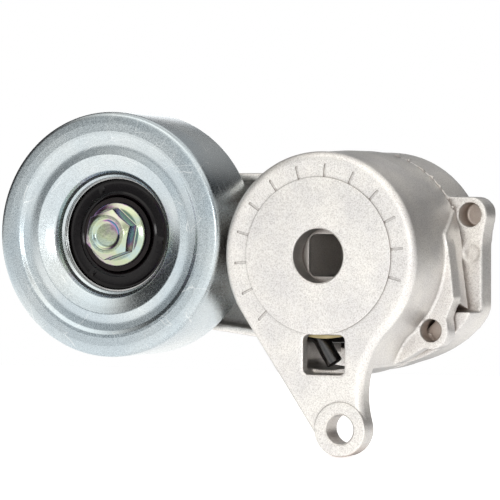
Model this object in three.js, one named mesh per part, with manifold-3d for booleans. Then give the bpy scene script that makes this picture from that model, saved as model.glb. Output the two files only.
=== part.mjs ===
// Spring-loaded belt tensioner with a flat idler pulley.
//
// A fixed cast case holds a torsion spring and carries the bolt lug. A cast arm turns in the case on a
// hollow post and carries the pulley, which runs on a sealed ball bearing.
//
// Millimetres, +Z up, +X to the right and +Y to the rear. Every axis of rotation is parallel to Y.
// Depths are measured rearwards from the flat front of the case. The finished assembly is shifted so
// that the origin is the centre of the flat rear face of the arm's hub, on the pivot axis.

import * as THREE from "three";
import { mergeVertices } from "three/addons/utils/BufferGeometryUtils.js";
import { ConvexGeometry } from "three/addons/geometries/ConvexGeometry.js";
import Module from "manifold-3d";

const wasm = await Module();
wasm.setup();

// ---------------------------------------------------------------- driving dimensions

const DEPTH = 60; // from the front of the case to the rear of the arm's hub
const GAP = 0.3; // running and assembly clearance between two pieces
const CUT = 1; // how far a cutting tool reaches past the face it opens

const CASE = {
  face: 0.5,
  disc: 23.8,
  radius: 31.5,
  rearRadius: 32,
  edge: 2.4,
  floor: 4.2,
  rear: 38.2,
  cavity: 28.6,
  boreRadius: 8.25,
};
const SLEEVE = { radius: 15.2, bore: 12.2, groove: 13.2, shoulder: 8, rear: 33 };
const LUG = { x: 7.2, z: -52.2, radius: 8.3, pad: 8.15, hole: 4.45, thickness: 9, blend: 28 };
const BULGE = { radius: 37.1, wall: 2.5, rear: 29.5 };
const POCKET = { z: -30, width: 21.4, height: 20, corner: 1 };
const TANG_SLOT = { z: -30, width: 17, height: 9, corner: 1 };
const WINDOW = { x: 1.8, z: -29.85, width: 13.6, height: 11.9, corner: 1.6 };
const WING = {
  root: 29.5,
  rootSpread: 2,
  front: { depth: 23, top: 6, bottom: -13, topX: 32.6, bottomX: 35 },
  rear: { depth: 38.2, top: 12, bottom: -17, topX: 29.9, bottomX: 34 },
};
const CASE_EAR = {
  front: 23,
  x: 27.4,
  z: -22.9,
  radius: 5.7,
  hole: 3.45,
  from: -112,
  to: 10,
  root: [[26, 8], [13, -26], [13, -34.2], [17.6, -32.6]],
  side: [[32.6, -18.9], [35, -13], [34.1, -4.5], [33, 4]],
};

const POST = { front: 8.4, radius: 10.6, grooveRadius: 9.8, grooveFront: 10.4, grooveRear: 11.8 };
const SOCKET = { side: 12.8, corner: 2.4, rear: 46 };
const HUB = { front: 39.7, radius: 31.7, cavity: 28.4, floor: 52, chamfer: 1.7 };
const ARM = {
  front: 30.2,
  web: 41,
  rear: 48,
  rib: 2.4,
  clearRadius: 33,
  root: -10,
  top: 25.2,
  topEnd: -47,
  topBend: -62,
  end: 17,
  endFrom: 120,
  endTo: 245,
  bottom: -28,
  bottomEnd: -20,
  bottomBend: [-64, -21.5],
  bottomTurn: [-49, -24.2],
  boss: 12.5,
};
const ARM_EAR = { x: 33.6, z: 12.3, radius: 5.5, hole: 3.7, holeDepth: 7, from: 80, to: -20 };
const FLANGE = {
  rear: 48.5,
  root: [22, 18],
  earBend: [37.7, 6],
  side: 37.6,
  sideTop: 2,
  sideBottom: -15.5,
  cornerBend: [37.3, -19],
  corner: [34, -22.6],
  skirtBend: [26.5, -30.5],
  skirt: [13.6, -33.8],
  skirtRadius: 36.4,
  skirtFrom: -72,
  skirtTo: -125,
};
const EJECTOR = { x: 34, z: 0.4, radius: 2.9, depth: 0.5 };
const STOP = {
  front: 30.1,
  top: -17.4,
  rootX: 20,
  side: 37.45,
  sideBend: [36.6, -20],
  foot: [10, -25],
  innerRadius: 32.8,
  stepFront: 33.6,
  step: [[24.5, -24], [29, -32], [29, -42], [5, -42], [5, -24]],
};

const PULLEY = { x: -70.7, z: 6.1, radius: 38, front: -0.7, rear: 26.3, sheet: 2.5 };
// The pressed face, as [radius, depth] pairs from the lip over the bearing out to the flat of the rim.
const PULLEY_FACE = [
  [17.8, 5],
  [18.7, 4.3],
  [19.1, 3.2],
  [19.9, 2.2],
  [22.4, 1],
  [24.8, 0.1],
  [30.3, 0.1],
  [31, -0.8],
  [31.7, -0.7],
];
const PULLEY_SEAT = { radius: 20.1, lipRear: 5.9, shoulder: 5.2, taper: 2.3, rear: 18.7 };
const RIM = { corner: 2.6, chamfer: [1.2, 1.5], inside: 1.5 };
const BEARING = { front: 6.1, rear: 18.1, outer: 20, bore: 8.5, outerLand: 17.3, innerLand: 11.5 };
const BALL = { count: 8, radius: 3.25, pitch: 14.4, raceRadius: 3.5 };
const CAGE = { half: 0.7, reach: 4.1, pocket: 3.5 };
const SEAL = {
  outer: 17,
  inner: 11.85,
  front: 6.9,
  thickness: 0.9,
  lip: 0.25,
  lipWidth: 1,
  bead: 0.2,
  beadAt: 16.5,
};
const BOLT = { flange: 10, across: 14, top: -1.6, flangeTop: 4.3, shank: 5, rear: 40, phase: 19 };
const BOLT_HEAD = { dish: 0.9, dishRadius: 4.1, rim: 4.6, flat: 6, drop: 1.6, overlap: 0.6 };
const BOLT_FLANGE = { flat: 8.3, edge: 0.9, seat: 6, point: 1 };
const SPACER = { bore: 5.3, radius: 8.2, front: 7, flange: 11, flangeFront: 19.4, flangeRear: 22 };
const SHIELD = { radius: 18.6, front: 18.4, rear: 19.1 };

const SPRING = { radius: 24.4, wire: 2.5, front: 9.6, rear: 45.6, turns: 5.25, start: -98 };
const SPRING_LEG = { x: 1.6, reach: 32.6, elbow: 27.8, turn: 50.1, end: 56, clearance: 0.5 };
const SPRING_STEPS = 22; // points of the spring's path in each turn
const THRUST_RING = { outer: 25.1, inner: 17, front: 4.5, rear: 6.6 };
const REAR_SEAT = { outer: 28.1, inner: 19, front: 48.6, rear: 51.7 };
const BUSH = { inner: 10.85, outer: 11.95, front: 12.3, middle: 22.3, rear: 32.6 };
const DUST_SEAL = { outer: 30.6, inner: 28.9, front: 38.5, rear: 39.4 };
const DAMPER = { outer: 28.3, inner: 27.3, front: 12, rear: 36.5, from: -45, to: 232 };
const SEAT_GAP = 12; // half the opening for the spring's leg in the rear seat, in degrees
const CLIP = { clearance: 0.25, grip: 0.7, from: 20, to: 340 };

const ROUND = 48; // sides of a large circle
const MEDIUM = 32; // sides of a middling circle
const SMALL = 20; // sides of a small circle
const LARGE = 12; // an arc of more than this radius is drawn with ROUND sides

// ---------------------------------------------------------------- materials

const finish = (color, roughness, metalness) =>
  new THREE.MeshStandardMaterial({ color, roughness, metalness });

const FINISH = {
  castAluminium: () => finish(0xd6d1ca, 0.55, 0.85),
  zincSteel: () => finish(0xc4cdd0, 0.28, 0.95),
  boltZinc: () => finish(0xc2c3a4, 0.25, 1),
  bearingSteel: () => finish(0x8d8a86, 0.25, 1),
  sealRubber: () => finish(0x1f1719, 0.45, 0),
  springPaint: () => finish(0x141214, 0.4, 0.1),
  khakiResin: () => finish(0xbeaa6e, 0.5, 0),
  blackResin: () => finish(0x26262a, 0.55, 0),
  plainSteel: () => finish(0x9a9b9c, 0.35, 1),
};

// ---------------------------------------------------------------- shape helpers

const radians = THREE.MathUtils.degToRad;

// A point at a radius and an angle in the plane of the case's front, from +X towards +Z.
const polar = (radius, degrees, x = 0, z = 0) =>
  new THREE.Vector2(x + radius * Math.cos(radians(degrees)), z + radius * Math.sin(radians(degrees)));

// A closed geometry as a manifold-3d solid.
function solid(geometry) {
  const bare = geometry.index ? geometry.toNonIndexed() : geometry.clone();
  bare.deleteAttribute("normal");
  bare.deleteAttribute("uv");
  const merged = mergeVertices(bare, 1e-4);
  const mesh = new wasm.Mesh({
    numProp: 3,
    vertProperties: merged.attributes.position.array,
    triVerts: new Uint32Array(merged.index.array),
  });
  return new wasm.Manifold(mesh);
}

// A manifold-3d solid back as a geometry.
function geometryOf(body) {
  const mesh = body.getMesh();
  const geometry = new THREE.BufferGeometry();
  geometry.setAttribute("position", new THREE.BufferAttribute(mesh.vertProperties, 3));
  geometry.setIndex(new THREE.BufferAttribute(mesh.triVerts, 1));
  geometry.computeVertexNormals();
  return geometry;
}

// An outline in X and Z, extruded rearwards from one depth to another.
function prismGeometry(outline, front, rear, options = {}) {
  const geometry = new THREE.ExtrudeGeometry(outline, {
    depth: rear - front,
    bevelEnabled: false,
    curveSegments: 4,
    ...options,
  });
  return geometry.rotateX(Math.PI / 2).translate(0, rear, 0);
}
const prism = (outline, front, rear) => solid(prismGeometry(outline, front, rear));

// A straight-sided outline through the given points.
const polygon = (points) => new THREE.Shape(points.map(([x, z]) => new THREE.Vector2(x, z)));

// A round bar along Y.
function bar(radius, front, rear, x = 0, z = 0, sides = SMALL) {
  const geometry = new THREE.CylinderGeometry(radius, radius, rear - front, sides);
  return solid(geometry.translate(x, (front + rear) / 2, z));
}

// A profile of [radius, depth] pairs turned round the Y axis: its outer side runs to greater depth.
function turnedGeometry(profile, sides = ROUND) {
  const points = profile.map(([radius, depth]) => new THREE.Vector2(radius, depth));
  return new THREE.LatheGeometry(points, sides);
}
const turned = (profile, sides) => solid(turnedGeometry(profile, sides));

// The profile of a plain ring.
const ringProfile = (inner, outer, front, rear) => [
  [inner, front],
  [outer, front],
  [outer, rear],
  [inner, rear],
  [inner, front],
];

// Continues an outline along a circular arc, in even steps of about one side of a round bar.
function addArc(outline, x, z, radius, fromAngle, toAngle) {
  const facet = (2 * Math.PI) / (radius > LARGE ? ROUND : SMALL);
  const steps = Math.max(1, Math.round(Math.abs(toAngle - fromAngle) / facet));
  for (let step = 0; step <= steps; step += 1) {
    const at = fromAngle + ((toAngle - fromAngle) * step) / steps;
    const point = new THREE.Vector2(x + radius * Math.cos(at), z + radius * Math.sin(at));
    if (outline.curves.length || outline.currentPoint.length()) outline.lineTo(point.x, point.y);
    else outline.moveTo(point.x, point.y);
  }
}

// The part of a ring between two angles, from +X towards +Z.
function arcOutline(inner, outer, fromDegrees, toDegrees) {
  const outline = new THREE.Shape();
  addArc(outline, 0, 0, outer, radians(fromDegrees), radians(toDegrees));
  addArc(outline, 0, 0, inner, radians(toDegrees), radians(fromDegrees));
  return outline;
}

// Points on a circular arc, as [radius, depth] pairs, from one angle to another in steps.
function arcPoints(centreRadius, centreDepth, radius, fromDegrees, toDegrees, steps) {
  return Array.from({ length: steps + 1 }, (_, step) => {
    const at = fromDegrees + ((toDegrees - fromDegrees) * step) / steps;
    const point = polar(radius, at, centreRadius, centreDepth);
    return [point.x, point.y];
  });
}

function roundedRectangle(x, z, width, height, corner) {
  const right = x + width / 2 - corner;
  const left = x - width / 2 + corner;
  const top = z + height / 2 - corner;
  const bottom = z - height / 2 + corner;
  const outline = new THREE.Shape();
  outline.absarc(right, bottom, corner, radians(-90), 0, false);
  outline.absarc(right, top, corner, 0, radians(90), false);
  outline.absarc(left, top, corner, radians(90), radians(180), false);
  outline.absarc(left, bottom, corner, radians(180), radians(270), false);
  return outline;
}

// The outline of one of the case's openings.
const recess = ({ x = 0, z, width, height, corner }) => roundedRectangle(x, z, width, height, corner);

function named(name, geometry, material) {
  const mesh = new THREE.Mesh(geometry, material);
  mesh.name = name;
  return mesh;
}

// ---------------------------------------------------------------- the fixed case

// The outline of the case's front: the round body and the lug, joined by a straight tangent on the
// left and a hollow arc on the right. The inset moves the whole outline inwards.
function caseOutline(inset = 0) {
  const body = CASE.radius - inset;
  const lug = LUG.radius - inset;
  const blend = LUG.blend + inset;
  const span = Math.hypot(LUG.x, LUG.z);
  const heading = Math.atan2(LUG.z, LUG.x);
  const tangent = heading - Math.acos((body - lug) / span);
  const toBlend = body + blend;
  const lugToBlend = lug + blend;
  const corner = Math.acos((span ** 2 + toBlend ** 2 - lugToBlend ** 2) / (2 * span * toBlend));
  const blendAt = heading + corner;
  const blendX = toBlend * Math.cos(blendAt);
  const blendZ = toBlend * Math.sin(blendAt);
  const lugSide = Math.atan2(blendZ - LUG.z, blendX - LUG.x);

  const outline = new THREE.Shape();
  addArc(outline, 0, 0, body, blendAt, tangent + 2 * Math.PI);
  addArc(outline, LUG.x, LUG.z, lug, tangent, lugSide);
  addArc(outline, blendX, blendZ, blend, lugSide + Math.PI, blendAt + Math.PI);
  return outline;
}

// The front plate with its rounded edge, in one thickness with the lug. A disc round the bore and the
// lug's pad stand a little above it.
function casePlate() {
  const geometry = prismGeometry(caseOutline(), CASE.face + CASE.edge, LUG.thickness - CASE.edge, {
    bevelEnabled: true,
    bevelThickness: CASE.edge,
    bevelSize: CASE.edge,
    bevelOffset: -CASE.edge,
    bevelSegments: 2,
  });
  return solid(geometry)
    .add(bar(CASE.disc, 0, CASE.floor, 0, 0, ROUND))
    .add(bar(LUG.pad, 0, CASE.floor, LUG.x, LUG.z, MEDIUM));
}

// The flat-sided thickening of the wall that the arm's stop rests against.
function caseWing() {
  const section = ({ depth, top, bottom, topX, bottomX }) => [
    new THREE.Vector3(WING.root, depth, top + WING.rootSpread),
    new THREE.Vector3(topX, depth, top),
    new THREE.Vector3(bottomX, depth, bottom),
    new THREE.Vector3(WING.root - WING.rootSpread, depth, bottom),
  ];
  return solid(new ConvexGeometry([...section(WING.front), ...section(WING.rear)]));
}

// The flat ear with the locking pin hole.
function caseEar() {
  const { front, x, z, radius, from, to, root, side } = CASE_EAR;
  const outline = polygon(root);
  outline.absarc(x, z, radius, radians(from), radians(to), false);
  side.forEach(([cornerX, cornerZ]) => outline.lineTo(cornerX, cornerZ));
  return prism(outline, front, BULGE.rear);
}

function springCase() {
  const wall = turned(ringProfile(CASE.cavity, CASE.radius, CASE.edge, CASE.rear))
    .add(turned([
      [CASE.cavity, LUG.thickness],
      [CASE.radius, LUG.thickness],
      [CASE.rearRadius, WING.front.depth],
      [CASE.rearRadius, CASE.rear],
      [CASE.cavity, CASE.rear],
      [CASE.cavity, LUG.thickness],
    ]));
  const bulge = prism(caseOutline(), CASE.face + CASE.edge, BULGE.rear)
    .intersect(bar(BULGE.radius, 0, DEPTH, 0, 0, ROUND));
  const pocket = prism(caseOutline(BULGE.wall), CASE.floor, BULGE.rear + CUT)
    .intersect(bar(BULGE.radius - BULGE.wall, 0, DEPTH, 0, 0, ROUND))
    .intersect(prism(recess(POCKET), 0, DEPTH));
  const cavity = bar(CASE.cavity, CASE.floor, DEPTH, 0, 0, ROUND);
  const tangSlot = prism(recess(TANG_SLOT), BULGE.rear - CUT, DEPTH);
  const sleeve = bar(SLEEVE.radius, CASE.edge, SLEEVE.rear, 0, 0, MEDIUM);
  const sleeveBore = turned([
    [0, -CUT],
    [CASE.boreRadius, -CUT],
    [CASE.boreRadius, SLEEVE.shoulder],
    [SLEEVE.bore, SLEEVE.shoulder],
    [SLEEVE.bore, POST.grooveFront],
    [SLEEVE.groove, POST.grooveFront],
    [SLEEVE.groove, POST.grooveRear],
    [SLEEVE.bore, POST.grooveRear],
    [SLEEVE.bore, DEPTH],
    [0, DEPTH],
  ], MEDIUM);
  return casePlate()
    .add(wall)
    .add(bulge)
    .add(caseWing())
    .add(caseEar())
    .subtract(cavity)
    .subtract(pocket)
    .subtract(tangSlot)
    .add(sleeve)
    .subtract(sleeveBore)
    .subtract(prism(recess(WINDOW), -CUT, CASE.floor + CUT))
    .subtract(bar(LUG.hole, -CUT, LUG.thickness + CUT, LUG.x, LUG.z))
    .subtract(bar(CASE_EAR.hole, CASE_EAR.front - CUT, BULGE.rear + CUT, CASE_EAR.x, CASE_EAR.z));
}

// ---------------------------------------------------------------- the arm

// The swept outline of the arm, from the hub to the round end behind the pulley.
function armOutline(inset) {
  const end = ARM.end - inset;
  const top = ARM.top - inset;
  const bottom = ARM.bottom + inset;
  const upper = polar(end, ARM.endFrom, PULLEY.x, PULLEY.z);
  const [bendX, bendZ] = ARM.bottomBend;
  const [turnX, turnZ] = ARM.bottomTurn;
  const outline = new THREE.Shape();
  outline.moveTo(ARM.root, top);
  outline.lineTo(ARM.topEnd, top);
  outline.quadraticCurveTo(ARM.topBend, top, upper.x, upper.y);
  outline.absarc(PULLEY.x, PULLEY.z, end, radians(ARM.endFrom), radians(ARM.endTo), false);
  outline.quadraticCurveTo(bendX, bendZ + inset, turnX, turnZ + inset);
  outline.lineTo(ARM.bottomEnd, bottom);
  outline.lineTo(ARM.root, bottom);
  return outline;
}

// The flange on the hub: the ear for the locking pin, a straight side, and a skirt underneath.
function armFlange() {
  const { x, z, radius, from, to } = ARM_EAR;
  const outline = new THREE.Shape();
  outline.moveTo(0, 0);
  outline.lineTo(...FLANGE.root);
  addArc(outline, x, z, radius, radians(from), radians(to));
  outline.quadraticCurveTo(...FLANGE.earBend, FLANGE.side, FLANGE.sideTop);
  outline.lineTo(FLANGE.side, FLANGE.sideBottom);
  outline.quadraticCurveTo(...FLANGE.cornerBend, ...FLANGE.corner);
  outline.quadraticCurveTo(...FLANGE.skirtBend, ...FLANGE.skirt);
  addArc(outline, 0, 0, FLANGE.skirtRadius, radians(FLANGE.skirtFrom), radians(FLANGE.skirtTo));
  return prism(outline, HUB.front, FLANGE.rear);
}

// The block that reaches forward beside the case and rests against the case's wing.
function armStop() {
  const outline = new THREE.Shape();
  outline.moveTo(STOP.rootX, STOP.top);
  outline.lineTo(STOP.side, STOP.top);
  outline.quadraticCurveTo(...STOP.sideBend, ...FLANGE.corner);
  outline.quadraticCurveTo(...FLANGE.skirtBend, ...FLANGE.skirt);
  outline.lineTo(...STOP.foot);
  return prism(outline, STOP.front, HUB.front + CUT)
    .subtract(prism(polygon(STOP.step), 0, STOP.stepFront))
    .subtract(bar(STOP.innerRadius, 0, HUB.front, 0, 0, ROUND));
}

function tensionerArm() {
  const hub = turned([
    [0, POST.front],
    [POST.radius, POST.front],
    [POST.radius, POST.grooveFront],
    [POST.grooveRadius, POST.grooveFront],
    [POST.grooveRadius, POST.grooveRear],
    [POST.radius, POST.grooveRear],
    [POST.radius, HUB.floor],
    [HUB.cavity, HUB.floor],
    [HUB.cavity, HUB.front],
    [HUB.radius, HUB.front],
    [HUB.radius, DEPTH - HUB.chamfer],
    [HUB.radius - HUB.chamfer, DEPTH],
    [0, DEPTH],
  ]);
  const boss = bar(ARM.boss, SPACER.flangeRear + GAP, ARM.rear, PULLEY.x, PULLEY.z, MEDIUM);
  const swing = prism(armOutline(0), ARM.front, ARM.rear)
    .subtract(prism(armOutline(ARM.rib), ARM.front - CUT, ARM.web))
    .subtract(bar(ARM.clearRadius, 0, HUB.front, 0, 0, ROUND))
    .subtract(bar(HUB.cavity, 0, HUB.floor, 0, 0, ROUND));
  const caseSide = bar(ARM.clearRadius + ARM.rib, HUB.front, ARM.rear, 0, 0, ROUND).intersect(
    prism(armOutline(0), HUB.front, ARM.rear),
  );
  const square = roundedRectangle(0, 0, SOCKET.side, SOCKET.side, SOCKET.corner);
  const leg = polar(SPRING.radius, SPRING.start - 360 * SPRING.turns);
  const legRadius = SPRING.wire + SPRING_LEG.clearance;
  const legHole = bar(legRadius, HUB.floor - CUT, SPRING_LEG.end + CUT, leg.x, leg.y);
  const boltHole = bar(BOLT.shank + GAP, 0, BOLT.rear + 2 * CUT, PULLEY.x, PULLEY.z);
  const pinRear = HUB.front + ARM_EAR.holeDepth;
  const pinHole = bar(ARM_EAR.hole, HUB.front - CUT, pinRear, ARM_EAR.x, ARM_EAR.z);
  const ejectorRear = HUB.front + EJECTOR.depth;
  const ejectorMark = bar(EJECTOR.radius, HUB.front - CUT, ejectorRear, EJECTOR.x, EJECTOR.z);
  return swing
    .add(caseSide)
    .add(boss)
    .add(armFlange())
    .add(armStop())
    .subtract(bar(HUB.cavity, 0, HUB.floor, 0, 0, ROUND))
    .add(hub)
    .subtract(prism(square, 0, SOCKET.rear))
    .subtract(legHole)
    .subtract(boltHole)
    .subtract(pinHole)
    .subtract(ejectorMark);
}

// ---------------------------------------------------------------- inside the case

// The spring wire: a leg reaching outwards behind the window, the coil, and a leg into the arm.
function springPath() {
  const { radius, front, rear, turns, start } = SPRING;
  const tip = new THREE.Vector3(SPRING_LEG.x, front, -SPRING_LEG.reach);
  const elbow = new THREE.Vector3(-SPRING_LEG.x, front, -SPRING_LEG.elbow);
  const points = [tip, elbow];
  const count = Math.round(SPRING_STEPS * turns);
  for (let step = 0; step <= count; step += 1) {
    const along = step / count;
    const at = polar(radius, start - 360 * turns * along);
    points.push(new THREE.Vector3(at.x, front + (rear - front) * along, at.y));
  }
  const end = polar(radius, start - 360 * turns);
  points.push(new THREE.Vector3(end.x, SPRING_LEG.turn, end.y));
  points.push(new THREE.Vector3(end.x, SPRING_LEG.end, end.y));
  return new THREE.CatmullRomCurve3(points, false, "centripetal");
}

function torsionSpring() {
  const wire = new THREE.Shape();
  wire.absarc(0, 0, SPRING.wire, 0, 2 * Math.PI, false);
  return new THREE.ExtrudeGeometry(wire, {
    steps: 96,
    curveSegments: 4,
    bevelEnabled: false,
    extrudePath: springPath(),
  });
}

function retainingRing() {
  const inner = POST.grooveRadius + CLIP.clearance;
  const outline = arcOutline(inner, SLEEVE.bore + CLIP.grip, CLIP.from, CLIP.to);
  return prismGeometry(outline, POST.grooveFront + CLIP.clearance, POST.grooveRear - CLIP.clearance);
}

// An open ring of resin between the last coil and the arm, with room for the spring's leg.
function rearSeat() {
  const leg = SPRING.start - 360 * SPRING.turns;
  const outline = arcOutline(REAR_SEAT.inner, REAR_SEAT.outer, leg + SEAT_GAP, leg + 360 - SEAT_GAP);
  return prismGeometry(outline, REAR_SEAT.front, REAR_SEAT.rear);
}

const dampingSleeve = () =>
  prismGeometry(arcOutline(DAMPER.inner, DAMPER.outer, DAMPER.from, DAMPER.to), DAMPER.front, DAMPER.rear);

// A plain ring, turned about the pivot axis between its front and rear depths.
const plainRing = ({ inner, outer, front, rear }, sides) =>
  turnedGeometry(ringProfile(inner, outer, front, rear), sides);

const INSIDE = [
  ["thrust_ring", () => plainRing(THRUST_RING, MEDIUM), "khakiResin"],
  ["torsion_spring", torsionSpring, "springPaint"],
  ["damping_sleeve", dampingSleeve, "blackResin"],
  ["rear_spring_seat", rearSeat, "blackResin"],
  ["front_pivot_bush", () => plainRing({ ...BUSH, rear: BUSH.middle - GAP }, SMALL), "khakiResin"],
  ["rear_pivot_bush", () => plainRing({ ...BUSH, front: BUSH.middle }, SMALL), "khakiResin"],
  ["retaining_ring", retainingRing, "plainSteel"],
  ["dust_seal_ring", () => plainRing(DUST_SEAL, MEDIUM), "sealRubber"],
];

// ---------------------------------------------------------------- the pulley and its bearing

// The pressed steel pulley: a flat rim, a stepped and dished face and a seat for the bearing.
function pulleyShell() {
  const { radius, front, rear, sheet } = PULLEY;
  const { corner, chamfer, inside } = RIM;
  const seat = PULLEY_SEAT.radius;
  const seatWall = seat + sheet;
  const bore = radius - sheet;
  const [lipRadius] = PULLEY_FACE[0];
  const [stepRadius, faceDepth] = PULLEY_FACE[6];
  const [rimFlat] = PULLEY_FACE[8];
  return turnedGeometry([
    ...PULLEY_FACE,
    ...arcPoints(radius - corner, front + corner, corner, -90, 0, 4),
    [radius, rear - chamfer[1]],
    [radius - chamfer[0], rear],
    [bore, rear],
    [bore, front + sheet + inside],
    [bore - inside, front + sheet],
    [rimFlat, front + sheet],
    [stepRadius + GAP, faceDepth + sheet],
    [seatWall + PULLEY_SEAT.taper, faceDepth + sheet],
    [seatWall, PULLEY_SEAT.shoulder],
    [seatWall, PULLEY_SEAT.rear],
    [seat, PULLEY_SEAT.rear],
    [seat, PULLEY_SEAT.lipRear],
    [lipRadius, PULLEY_SEAT.lipRear],
    PULLEY_FACE[0],
  ]);
}

// A bearing ring with the ball groove in its inner or outer wall.
function bearingOuterRing() {
  const { front, rear, outer, outerLand } = BEARING;
  const middle = (front + rear) / 2;
  const half = (Math.acos((outerLand - BALL.pitch) / BALL.raceRadius) * 180) / Math.PI;
  return turnedGeometry([
    [outerLand, front],
    [outer, front],
    [outer, rear],
    [outerLand, rear],
    ...arcPoints(BALL.pitch, middle, BALL.raceRadius, half, -half, 4),
    [outerLand, front],
  ], MEDIUM);
}

function bearingInnerRing() {
  const { front, rear, bore, innerLand } = BEARING;
  const middle = (front + rear) / 2;
  const half = (Math.acos((BALL.pitch - innerLand) / BALL.raceRadius) * 180) / Math.PI;
  return turnedGeometry([
    [bore, front],
    [innerLand, front],
    ...arcPoints(BALL.pitch, middle, BALL.raceRadius, 180 + half, 180 - half, 4),
    [innerLand, rear],
    [bore, rear],
    [bore, front],
  ], 24);
}

// The cage: a thin band on the pitch circle with a round pocket for each ball.
function bearingCage() {
  const middle = (BEARING.front + BEARING.rear) / 2;
  const { half, reach, pocket: pocketRadius } = CAGE;
  const band = ringProfile(BALL.pitch - half, BALL.pitch + half, middle - reach, middle + reach);
  let cage = turned(band, MEDIUM);
  for (let index = 0; index < BALL.count; index += 1) {
    const pocket = new THREE.CylinderGeometry(pocketRadius, pocketRadius, 2 * BALL.radius, 8);
    pocket.rotateZ(Math.PI / 2).translate(BALL.pitch, middle, 0);
    pocket.rotateY((2 * Math.PI * index) / BALL.count);
    cage = cage.subtract(solid(pocket));
  }
  return geometryOf(cage);
}

function ball() {
  return new THREE.SphereGeometry(BALL.radius, 10, 6);
}

// The flanged hexagon bolt, with the shallow dish in the top of its head.
function pulleyBolt() {
  const { flange, across, top, flangeTop, shank, rear, phase } = BOLT;
  const { dish, dishRadius, rim, flat, drop, overlap } = BOLT_HEAD;
  const { flat: flangeFlat, edge, seat, point } = BOLT_FLANGE;
  const corner = across / 2 / Math.cos(Math.PI / 6);
  const clear = corner + GAP;
  const height = flangeTop + overlap - top;
  const hexagon = new THREE.CylinderGeometry(corner, corner, height, 6);
  hexagon.rotateY(radians(phase + 90)).translate(0, top + height / 2, 0);
  const crown = turned([
    [0, top + dish],
    [dishRadius, top + dish],
    [rim, top],
    [flat, top],
    [clear, top + drop],
    [clear, rear],
    [0, rear],
  ], MEDIUM);
  const body = turned([
    [0, flangeTop],
    [flangeFlat, flangeTop],
    [flange, seat - edge],
    [flange, seat],
    [shank, seat],
    [shank, rear - point],
    [shank - point, rear],
    [0, rear],
  ], MEDIUM);
  return geometryOf(solid(hexagon).intersect(crown).add(body));
}

const pulleySpacer = () => {
  const { bore, radius, front, flange, flangeFront, flangeRear } = SPACER;
  return turnedGeometry([
    [bore, front],
    [radius, front],
    [radius, flangeFront],
    [flange, flangeFront],
    [flange, flangeRear],
    [bore, flangeRear],
    [bore, front],
  ], 24);
};

// A rubber seal with its raised inner lip and a bead near its outer edge.
function bearingSeal() {
  const { outer, inner, thickness, lip, lipWidth, bead, beadAt } = SEAL;
  return turnedGeometry([
    [inner, -lip],
    [inner + lipWidth / 2, -lip],
    [inner + lipWidth, 0],
    [beadAt - 2 * bead, 0],
    [beadAt, -bead],
    [outer, 0],
    [outer, thickness],
    [inner, thickness],
    [inner, -lip],
  ], MEDIUM);
}

const rearShield = () =>
  turnedGeometry(ringProfile(SPACER.radius + GAP, SHIELD.radius, SHIELD.front, SHIELD.rear), MEDIUM);

function pulleyGroup() {
  const group = new THREE.Group();
  group.position.set(PULLEY.x, 0, PULLEY.z);
  group.add(named("pulley_shell", pulleyShell(), FINISH.zincSteel()));
  group.add(named("bearing_outer_ring", bearingOuterRing(), FINISH.bearingSteel()));
  group.add(named("bearing_inner_ring", bearingInnerRing(), FINISH.bearingSteel()));
  group.add(named("bearing_cage", bearingCage(), FINISH.plainSteel()));
  const middle = (BEARING.front + BEARING.rear) / 2;
  for (let index = 0; index < BALL.count; index += 1) {
    const mesh = named(`ball_${index + 1}`, ball(), FINISH.bearingSteel());
    const at = (2 * Math.PI * index) / BALL.count;
    mesh.position.set(BALL.pitch * Math.cos(at), middle, -BALL.pitch * Math.sin(at));
    group.add(mesh);
  }
  const frontSeal = named("bearing_seal_front", bearingSeal(), FINISH.sealRubber());
  frontSeal.position.y = SEAL.front;
  const rearSeal = named("bearing_seal_rear", bearingSeal(), FINISH.sealRubber());
  rearSeal.rotation.z = Math.PI;
  rearSeal.position.y = BEARING.rear - (SEAL.front - BEARING.front);
  group.add(frontSeal, rearSeal);
  group.add(named("pulley_bolt", pulleyBolt(), FINISH.boltZinc()));
  group.add(named("pulley_spacer", pulleySpacer(), FINISH.plainSteel()));
  group.add(named("rear_dust_shield", rearShield(), FINISH.zincSteel()));
  return group;
}

// ---------------------------------------------------------------- the assembly

const tensioner = new THREE.Group();
const assembly = new THREE.Group();
assembly.position.y = -DEPTH;
assembly.add(named("spring_case", geometryOf(springCase()), FINISH.castAluminium()));
assembly.add(named("tensioner_arm", geometryOf(tensionerArm()), FINISH.castAluminium()));
for (const [name, make, look] of INSIDE) {
  assembly.add(named(name, make(), FINISH[look]()));
}
assembly.add(pulleyGroup());
tensioner.add(assembly);

export default tensioner;
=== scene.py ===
"""The finished surfaces of a belt tensioner: a cast spring case, a cast arm and an idler pulley.

Lengths are in millimetres unless a name says otherwise. Depth is measured rearwards from the front of
the case, +X is to the right and +Z is up, so the frame's Y is the depth less the depth of the whole part.
"""

import math
from types import SimpleNamespace as Dimensions

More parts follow.
